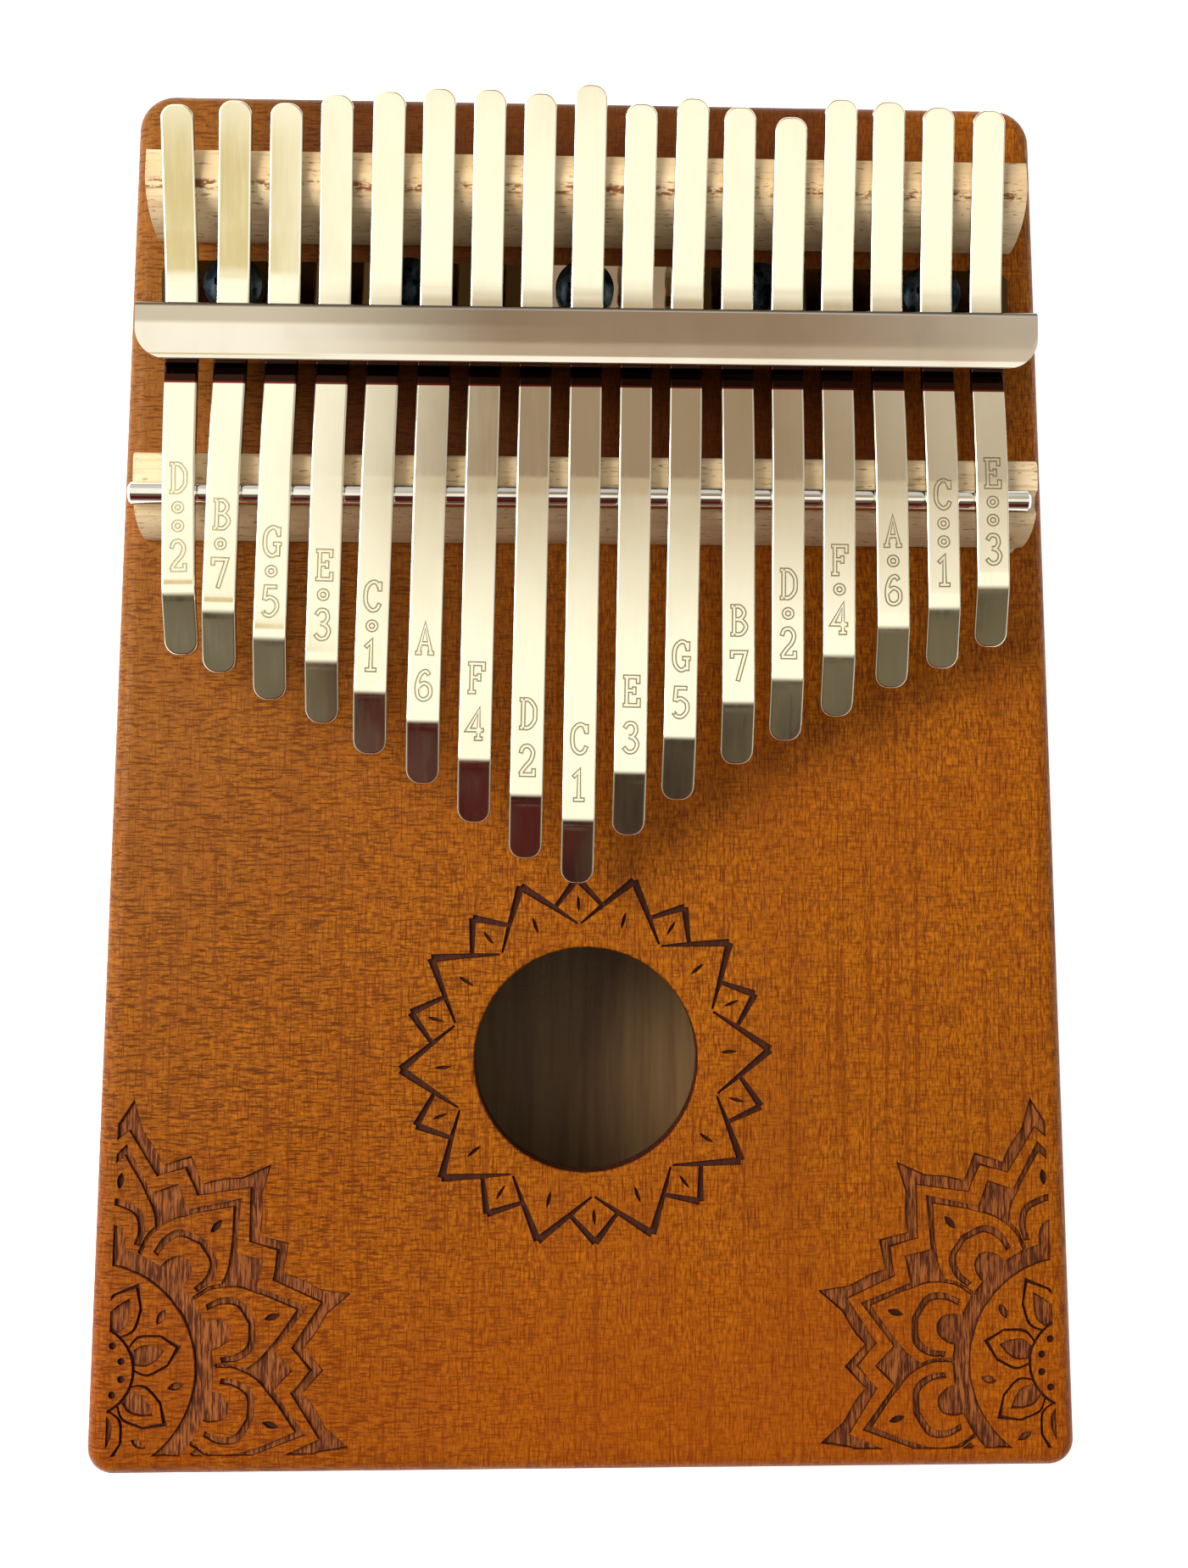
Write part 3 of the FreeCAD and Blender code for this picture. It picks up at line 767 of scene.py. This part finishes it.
def glue_bead(material):
    """Dried glue at the front bridge's right end: a run that ends in a small pool.

    BEAD_RINGS gives its radius at heights above the soundboard.
    """
    low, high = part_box("front_bridge")
    rings, sides = BEAD_RINGS, BEAD_SIDES
    points, faces = [], []
    for height, radius in rings:
        for side in range(sides):
            angle = 2 * math.pi * side / sides
            lumps = 0.16 * math.sin(3 * angle + height * 2) + 0.07 * math.sin(5 * angle - height)
            wide = radius * (1 + lumps)
            sway = 0.25 * math.sin(height * 1.7)
            points.append((high.x + (wide * math.cos(angle) + sway - BEAD_FROM_END) * MM,
                           low.y + BEAD_FLATNESS * wide * math.sin(angle) * MM,
                           low.z + height * MM))
    for level in range(len(rings) - 1):
        for side in range(sides):
            a, b = level * sides + side, level * sides + (side + 1) % sides
            faces.append((a, b, b + sides, a + sides))
    faces.append(tuple(reversed(range(sides))))
    faces.append(tuple(range((len(rings) - 1) * sides, len(rings) * sides)))
    mesh = bpy.data.meshes.new("glue_bead")
    mesh.from_pydata(points, [], faces)
    shade(mesh, BEAD_SHARP_DEG)
    piece = add_piece("glue_bead", mesh, [material])
    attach(piece, "body")


# ---- Materials ----
class Graph:
    """Builds shader nodes; the methods that make a value return its output socket."""

    def __init__(self, tree, coordinates):
        self.tree = tree
        self.place = self.add("ShaderNodeTexCoord").outputs[coordinates]

    def add(self, kind, **settings):
        node = self.tree.nodes.new(kind)
        for key, value in settings.items():
            setattr(node, key, value)
        return node

    def feed(self, socket, value):
        if isinstance(value, bpy.types.NodeSocket):
            self.tree.links.new(value, socket)
        else:
            socket.default_value = value

    def axes(self):
        """The coordinates' x, y and z sockets; object coordinates are in metres."""
        node = self.add("ShaderNodeSeparateXYZ")
        self.feed(node.inputs[0], self.place)
        return node.outputs

    def noise(self, per_mm, detail=2.0, rough=0.5, warp=0.0, shift=0.0):
        """Noise whose features come at the given frequencies per millimetre along x, y, z."""
        mapping = self.add("ShaderNodeMapping")
        self.feed(mapping.inputs["Vector"], self.place)
        mapping.inputs["Scale"].default_value = [value / MM for value in per_mm]
        mapping.inputs["Location"].default_value = (shift, shift, shift)
        node = self.add("ShaderNodeTexNoise")
        self.feed(node.inputs["Vector"], mapping.outputs["Vector"])
        node.inputs["Scale"].default_value = 1.0
        node.inputs["Detail"].default_value = detail
        node.inputs["Roughness"].default_value = rough
        node.inputs["Distortion"].default_value = warp
        return node.outputs["Fac"]

    def math(self, kind, a, b=0.0, clamp=False):
        """A Math node of the given kind."""
        node = self.add("ShaderNodeMath", operation=kind, use_clamp=clamp)
        self.feed(node.inputs[0], a)
        self.feed(node.inputs[1], b)
        return node.outputs[0]

    def times(self, a, b):
        return self.math("MULTIPLY", a, b)

    def mix(self, amount, a, b):
        """A number between a and b."""
        node = self.add("ShaderNodeMix", data_type="FLOAT")
        self.feed(node.inputs["Factor"], amount)
        self.feed(node.inputs[2], a)
        self.feed(node.inputs[3], b)
        return node.outputs[0]

    def ramp(self, value, low, high, to_low=0.0, to_high=1.0):
        """A smooth step of value from low..high to to_low..to_high."""
        node = self.add("ShaderNodeMapRange", interpolation_type="SMOOTHSTEP")
        self.feed(node.inputs["Value"], value)
        ends = {"From Min": low, "From Max": high, "To Min": to_low, "To Max": to_high}
        for key, number in ends.items():
            node.inputs[key].default_value = number
        return node.outputs["Result"]

    def blend(self, amount, a, b):
        """A colour between a and b."""
        node = self.add("ShaderNodeMix", data_type="RGBA")
        self.feed(node.inputs["Factor"], amount)
        self.feed(node.inputs[6], a)
        self.feed(node.inputs[7], b)
        return node.outputs[2]


class Surface(Graph):
    """One material."""

    def __init__(self, name):
        self.material = bpy.data.materials.new(name)
        self.material.use_nodes = True
        super().__init__(self.material.node_tree, "Object")
        self.shader = self.tree.nodes["Principled BSDF"]

    def bump(self, height, distance_mm, strength):
        node = self.add("ShaderNodeBump")
        self.feed(node.inputs["Height"], height)
        node.inputs["Distance"].default_value = distance_mm * MM
        node.inputs["Strength"].default_value = strength
        self.feed(self.shader.inputs["Normal"], node.outputs["Normal"])

    def set(self, **inputs):
        """Feeds the shader's inputs and returns the material."""
        names = {"color": "Base Color", "rough": "Roughness", "metal": "Metallic",
                 "specular": "Specular IOR Level", "glow": "Emission Strength",
                 "glow_color": "Emission Color"}
        for key, value in inputs.items():
            self.feed(self.shader.inputs[names[key]], value)
        return self.material


def rgb(red, green, blue):
    """A linear colour from 0..255 screen values."""
    def linear(value):
        value /= 255
        return value / 12.92 if value <= 0.04045 else ((value + 0.055) / 1.055) ** 2.4
    return (linear(red), linear(green), linear(blue), 1.0)


def wood_color(g):
    """Lacquered mahogany, as its colour and relief: a weave of dark dashes on a blotchy brown.

    The dashes run across on the left and along on the right. Painted sheen makes the wood
    paler and duller at the head's left, painted shading makes it redder at the tail, and
    painted shade darkens it behind the front bridge, under the tines.
    """
    x, y, _ = g.axes()
    left = g.ramp(x, 10 * MM, -45 * MM)
    speckle = g.noise((3.0, 0.8, 1.0), 2, 0.65, 0.1, shift=5)
    grain = g.noise((0.7, 2.4, 1.0), 2, 0.6, 0.3, shift=3)
    weave = g.mix(g.times(left, 0.7), speckle, grain)
    spread = g.mix(left, 0.17, 0.11)
    low, high = g.math("SUBTRACT", 0.51, spread), g.times(spread, 2.0)
    tone = g.math("DIVIDE", g.math("SUBTRACT", weave, low), high, clamp=True)
    color = g.blend(tone, rgb(122, 58, 0), rgb(192, 112, 12))
    blotch = g.ramp(g.noise((0.02, 0.028, 0.03), 3, 0.6), 0.36, 0.66, 0.0, 0.35)
    color = g.blend(blotch, color, rgb(150, 74, 4))
    streak = g.ramp(g.noise((0.1, 0.01, 0.05), 3, 0.6, shift=7), 0.45, 0.7, 0.0, 0.35)
    color = g.blend(streak, color, rgb(138, 68, 6))
    across = g.ramp(g.noise((0.42, 3.4, 0.8), 2, 0.6, 0.4, shift=9), 0.53, 0.61, 0.0, 0.95)
    across = g.times(across, g.mix(left, 0.45, 1.0))
    color = g.blend(across, color, rgb(88, 38, 0))
    along = g.ramp(g.noise((4.4, 0.26, 0.5), 2, 0.6, 0.1, shift=11), 0.56, 0.64, 0.0, 0.8)
    color = g.blend(along, color, rgb(104, 42, 0))
    pore = g.ramp(g.noise((1.3, 0.012, 0.3), 2, 0.7, 0.05, shift=15), 0.58, 0.66, 0.0, 0.55)
    color = g.blend(pore, color, rgb(112, 48, 2))
    # Painted shading: the board grows redder towards the tail.
    color = g.blend(g.ramp(y, -40 * MM, -90 * MM, 0.0, 0.3), color, rgb(160, 64, 0))
    # Painted sheen: a paler, duller brown at the head's left, where the lacquer would mirror a
    # bright room.
    head_left = g.math("SUBTRACT", g.times(y, 0.9), x)
    dull = g.ramp(head_left, -20 * MM, 120 * MM, 0.0, 0.6)
    dull = g.times(dull, g.mix(across, 1.0, 0.3))
    color = g.blend(dull, color, rgb(146, 98, 40))
    color = g.blend(g.times(left, 0.22), color, rgb(104, 54, 4))
    # Painted shade: dark red-brown on the board behind the front bridge and under the tines, where
    # they shade it.
    behind_bridge = g.ramp(y, 41.0 * MM, 43.5 * MM)
    under_tines = g.ramp(g.math("ABSOLUTE", x), 59.0 * MM, 30.0 * MM)
    painted_gap_shade = g.times(behind_bridge, under_tines)
    color = g.blend(g.times(painted_gap_shade, 0.72), color, rgb(58, 12, 2))
    relief = g.math("SUBTRACT", weave, g.math("ADD", across, along))
    return color, relief


def mahogany():
    g = Surface("mahogany")
    color, relief = wood_color(g)
    g.bump(relief, 0.05, 0.6)
    rough = g.ramp(g.noise((0.05, 0.05, 0.05), 2, 0.5), 0.3, 0.7, 0.34, 0.46)
    return g.set(color=color, rough=rough, specular=0.1)


def burnt_wood(name, lit, dark, depth_mm):
    """The floor of a laser engraving: brown wood with fine parallel scan lines."""
    g = Surface(name)
    scan = g.noise((4.2, 0.35, 0.4), 2, 0.7, 0.1)
    color = g.blend(g.ramp(scan, 0.4, 0.62), dark, lit)
    color = g.blend(g.ramp(g.noise((0.25, 0.2, 0.2), 2, 0.5), 0.35, 0.7, 0, 0.4), color, dark)
    g.bump(scan, depth_mm, 0.9)
    return g.set(color=color, rough=0.7, specular=0.2)


def beech():
    """Bare beech with short flecks and one dark knotty vein along the rear bridge."""
    g = Surface("beech")
    _, y, _ = g.axes()
    tone = g.ramp(g.noise((0.02, 0.15, 0.15), 3, 0.6), 0.35, 0.65)
    color = g.blend(tone, rgb(238, 214, 176), rgb(216, 186, 144))
    fiber = g.ramp(g.noise((0.12, 2.0, 2.0), 3, 0.6, 0.3), 0.5, 0.7, 0, 0.5)
    color = g.blend(fiber, color, rgb(184, 148, 104))
    fleck = g.ramp(g.noise((0.7, 3.4, 3.4), 1, 0.5, 0.2, shift=4), 0.64, 0.72, 0, 0.7)
    color = g.blend(fleck, color, rgb(138, 98, 56))
    vein_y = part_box("rear_bridge")[1].y - 4.6 * MM
    vein = g.ramp(g.math("ABSOLUTE", g.math("SUBTRACT", y, vein_y)), 0.9 * MM, 0.3 * MM)
    knots = g.times(vein, g.ramp(g.noise((0.5, 1.4, 1), 3, 0.7), 0.46, 0.58))
    color = g.blend(knots, color, rgb(128, 78, 38))
    g.bump(g.math("SUBTRACT", fiber, g.math("ADD", fleck, knots)), 0.05, 0.6)
    return g.set(color=color, rough=0.62, specular=0.3)


def steel(name, color, smudged, rough, grain=(1.4, 0.12, 0.5), patches=()):
    """Polished metal with smudges, faint waves, rolling marks along its grain, and patches of
    painted reflection and shade.

    A patch is a colour and (axis, none at, full at) steps in millimetres that bound it.
    """
    g = Surface(name)
    smudge = g.ramp(g.noise((0.09, 0.05, 0.1), 3, 0.6), 0.4, 0.75, 0, 0.5)
    tint = g.blend(smudge, color, smudged)
    g.bump(g.noise((0.12, 0.07, 0.1), 2, 0.5, shift=2), 0.016, 0.5)
    places = dict(zip("xyz", g.axes()))
    # The patches paint reflection and shade into the metal's colour.
    for patch_color, *steps in patches:
        amount = 1.0
        for axis, none, full in steps:
            amount = g.times(amount, g.ramp(places[axis], none * MM, full * MM))
        tint = g.blend(amount, tint, patch_color)
    wear = g.ramp(g.noise(grain, 3, 0.6), 0.3, 0.75, rough * 0.7, rough * 1.5)
    return g.set(color=tint, rough=wear, metal=1.0)


def rail_wood():
    """Mahogany sides: level streaks and pores that run round the body."""
    g = Surface("rail_wood")

    def streaks(lengthwise, upright, shift):
        return g.noise((lengthwise, lengthwise, upright), 3, 0.6, 0.3, shift=shift)

    color = g.blend(g.ramp(streaks(0.015, 0.35, 1), 0.35, 0.65), rgb(122, 56, 6), rgb(158, 84, 16))
    color = g.blend(g.ramp(streaks(0.16, 2.2, 3), 0.45, 0.65, 0, 0.5), color, rgb(172, 98, 26))
    pore = g.ramp(streaks(0.1, 3.2, 5), 0.56, 0.64, 0, 0.8)
    color = g.blend(pore, color, rgb(88, 38, 2))
    g.bump(pore, -0.03, 0.6)
    rough = g.ramp(streaks(0.05, 0.05, 7), 0.3, 0.7, 0.34, 0.46)
    return g.set(color=color, rough=rough, specular=0.1)


def dark_screw():
    g = Surface("screw_black")
    tone = g.ramp(g.noise((0.5, 0.5, 0.5), 3, 0.6), 0.35, 0.7)
    color = g.blend(tone, rgb(24, 30, 36), rgb(50, 60, 68))
    g.bump(g.noise((1.8, 1.8, 1.8), 2, 0.6), 0.02, 0.5)
    return g.set(color=color, rough=g.ramp(tone, 0, 1, 0.22, 0.4), metal=1.0)


def dried_glue():
    g = Surface("dried_glue")
    tone = g.ramp(g.noise((1.2, 1.2, 1.2), 2, 0.5), 0.35, 0.65)
    g.bump(tone, 0.04, 0.5)
    color = g.blend(tone, rgb(206, 170, 116), rgb(226, 198, 150))
    return g.set(color=color, rough=g.mix(tone, 0.2, 0.35))


def back_wood():
    """Mahogany outside; the unfinished inner face is dull and dark."""
    g = Surface("back_wood")
    color, relief = wood_color(g)
    _, _, z = g.axes()
    inner_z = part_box("back_plate")[1].z
    inner = g.ramp(z, inner_z - 0.8 * MM, inner_z - 0.1 * MM)
    grain = g.ramp(g.noise((0.5, 0.03, 0.1), 3, 0.6), 0.3, 0.7)
    raw = g.blend(grain, rgb(150, 116, 76), rgb(126, 92, 58))
    g.bump(relief, 0.03, 0.5)
    return g.set(color=g.blend(inner, color, raw), rough=0.5, specular=0.3)


# ---- Stage ----
SENSOR_MM, LENS_MM = 36, 37.97
EYE_PLACE, EYE_TURN_DEG = (-0.00652, -0.01212, DECK_Z + 0.22287), (2.711, -1.926, 0.111)
FLOOR_HALF, FLOOR_Z = 1.5, -0.1 * MM
LIT_PLACE = (0, 0, 0.03)


def camera():
    """A camera nearly straight above the body."""
    data = bpy.data.cameras.new("camera")
    data.sensor_fit = "VERTICAL"
    data.sensor_height, data.lens = SENSOR_MM, LENS_MM
    data.clip_start = 0.01
    eye = linked("camera", data)
    eye.location = EYE_PLACE
    eye.rotation_euler = [math.radians(angle) for angle in EYE_TURN_DEG]
    bpy.context.scene.camera = eye


def floor():
    """The pale floor, a hair below the body's underside."""
    g = Surface("floor_paint")
    paint = g.noise((0.02, 0.02, 0.02), 2, 0.5)
    tone = g.blend(paint, (0.9, 0.9, 0.9, 1), (0.94, 0.94, 0.94, 1))
    material = g.set(color=tone, rough=0.9, specular=0.1, glow=0.8, glow_color=(1, 1, 1, 1))
    mesh = bpy.data.meshes.new("floor")
    signs = ((-1, -1), (1, -1), (1, 1), (-1, 1))
    corners = [(x * FLOOR_HALF, y * FLOOR_HALF, FLOOR_Z) for x, y in signs]
    mesh.from_pydata(corners, [], [(0, 1, 2, 3)])
    add_piece("floor", mesh, [material])


def area_light(name, place, size, watts, color, glossy=True):
    """A square light that looks at the middle of the body."""
    data = bpy.data.lights.new(name, "AREA")
    data.shape = "RECTANGLE"
    data.size = data.size_y = size
    data.energy = watts
    data.color = color
    lamp = linked(name, data)
    lamp.location = place
    ray = Vector(LIT_PLACE) - Vector(place)
    lamp.rotation_euler = ray.to_track_quat("-Z", "Y").to_euler()
    lamp.visible_glossy = glossy


def world():
    """A soft room for the metal to mirror, whose zones go by a ray's slopes.

    u is the slope towards the head and w the one to the right. Only mirrored rays see the
    room: the camera sees white, and everything else is lit by an even grey.
    """
    sky = bpy.data.worlds.new("studio")
    bpy.context.scene.world = sky
    sky.use_nodes = True
    g = Graph(sky.node_tree, "Generated")
    dx, dy, dz = g.axes()
    up = g.math("MAXIMUM", dz, 0.05)
    u, w = g.math("DIVIDE", dy, up), g.math("DIVIDE", dx, up)
    left = g.times(w, -1.0)
    bright = (1.3, 1.26, 1.1, 1)
    overhead = g.times(g.ramp(u, 0.2, 0.15), g.ramp(u, 0.05, 0.1))
    cream = g.times(g.ramp(left, 0.11, 0.18), overhead)
    color = g.blend(cream, bright, (0.86, 0.72, 0.4, 1))
    # Towards the head: tan in the middle, in a near and a far step, then a pale wall.
    side = g.math("ADD", g.ramp(left, 0.01, 0.19), g.ramp(w, 0.15, 0.34, 0.0, 0.3), clamp=True)
    near_tan = g.blend(side, rgb(206, 186, 160), bright)
    far_tan = g.blend(side, rgb(168, 146, 122), bright)
    color = g.blend(g.ramp(u, 0.16, 0.3), color, near_tan)
    color = g.blend(g.ramp(u, 0.33, 0.338), color, far_tan)
    color = g.blend(g.ramp(u, 0.72, 1.0), color, (0.8, 0.78, 0.74, 1))
    # Low towards the player: dark red and brown with streaks in the middle, grey beside it.
    core = g.blend(g.ramp(w, 0.0, 0.05), rgb(84, 30, 26), rgb(76, 64, 50))
    beside = g.math("MAXIMUM", g.ramp(left, 0.12, 0.17), g.ramp(w, 0.1, 0.16))
    low = g.blend(beside, core, rgb(119, 109, 88))
    streaks = g.noise((60 * MM, 16 * MM, 10 * MM))
    low = g.blend(g.ramp(streaks, 0.53, 0.6, 0.0, 0.75), low, rgb(38, 32, 28))
    low = g.blend(g.ramp(streaks, 0.4, 0.33, 0.0, 0.5), low, rgb(150, 146, 134))
    color = g.blend(g.ramp(u, -0.34, -0.14), low, color)
    # The player, the dark beyond, and pale side walls.
    color = g.blend(g.ramp(u, -0.7, -0.9), color, rgb(96, 24, 20))
    color = g.blend(g.ramp(u, -2.5, -2.1), (0.14, 0.11, 0.09, 1), color)
    color = g.blend(g.ramp(g.math("ABSOLUTE", w), 0.8, 1.6), color, (0.5, 0.49, 0.47, 1))
    path = g.add("ShaderNodeLightPath").outputs
    seen = g.blend(path["Is Glossy Ray"], (0.42, 0.41, 0.39, 1), color)
    seen = g.blend(path["Is Camera Ray"], seen, (1, 1, 1, 1))
    g.feed(g.tree.nodes["Background"].inputs["Color"], seen)
    bpy.context.scene.view_settings.view_transform = "Standard"


# ---- Build ----
camera()
floor()
world()
area_light("key", place=(-0.5, 0.14, 0.56), size=0.45, watts=6.9, color=(1, 0.95, 0.84))
area_light("fill", place=(0.1, 0.2, 1.1), size=0.9, watts=0.5, color=(1, 0.98, 0.94),
           glossy=False)

deck = DECK_Z / MM
# Painted reflection and shade on the tines: a dark red edge, then a near-black band from just in
# front of the bracket's lip to under it.
painted_band_end = ("y", 57, 55)
tine_painted_reflection = [
    (rgb(120, 40, 36), ("y", 50.0, 50.12), painted_band_end),
    (rgb(44, 26, 20), ("y", 50.25, 50.4), painted_band_end),
]
bar_top, flange = ("z", deck + 9, deck + 10), ("z", deck + 3.2, deck + 2.4)
# Painted shade and dark reflection on the flange, everywhere except beside the middle.
flange_shade = rgb(74, 58, 34)
bracket_painted_light = [
    (flange_shade, flange, ("x", -7.2, -7.6)),
    (flange_shade, flange, ("x", 13.2, 13.6)),
    # Painted reflection on the top plate: paler towards its rear on the left, and a dark band
    # along the rear edge.
    (rgb(186, 176, 160), bar_top, ("y", 57.0, 57.7), ("x", 5, -35)),
    (rgb(104, 92, 78), bar_top, ("y", 59.4, 59.8)),
]
LOOKS = {
    "mahogany": mahogany(),
    "pale_bridge_wood": beech(),
    "rod_steel": steel("rod_steel", rgb(225, 222, 216), rgb(190, 184, 174), 0.08),
    "bracket_chrome": steel("bracket_chrome", rgb(226, 220, 210), rgb(206, 196, 182), 0.045,
                            grain=(0.05, 1.2, 1.2), patches=bracket_painted_light),
    "tine_steel": steel("tine_steel", rgb(238, 234, 216), rgb(226, 219, 196), 0.07,
                        patches=tine_painted_reflection),
    "screw_black": dark_screw(),
}
for entry in frame["record"]["subparts"]:
    node = frame["nodes"][entry["node"]]
    node.data.materials.clear()
    node.data.materials.append(LOOKS[entry["material_slot"]])
frame["nodes"]["back_plate"].data.materials[0] = back_wood()
side_grain = rail_wood()
for rail in ("side_rail_left", "side_rail_right", "head_block", "tail_rail"):
    frame["nodes"][rail].data.materials[0] = side_grain

floor_burn = burnt_wood("engraved_floor", rgb(158, 88, 36), rgb(72, 28, 4), 0.06)
line_burn = burnt_wood("engraved_line", rgb(74, 32, 16), rgb(50, 18, 8), 0.03)
soundboard([LOOKS["mahogany"], floor_burn, line_burn])
stamp_edge = steel("stamp_edge", rgb(150, 142, 112), rgb(122, 112, 84), 0.3)
for tine_note in LABELS:
    tine(tine_note, [LOOKS["tine_steel"], stamp_edge])

pressure_bracket(LOOKS["bracket_chrome"])
glue_bead(dried_glue())
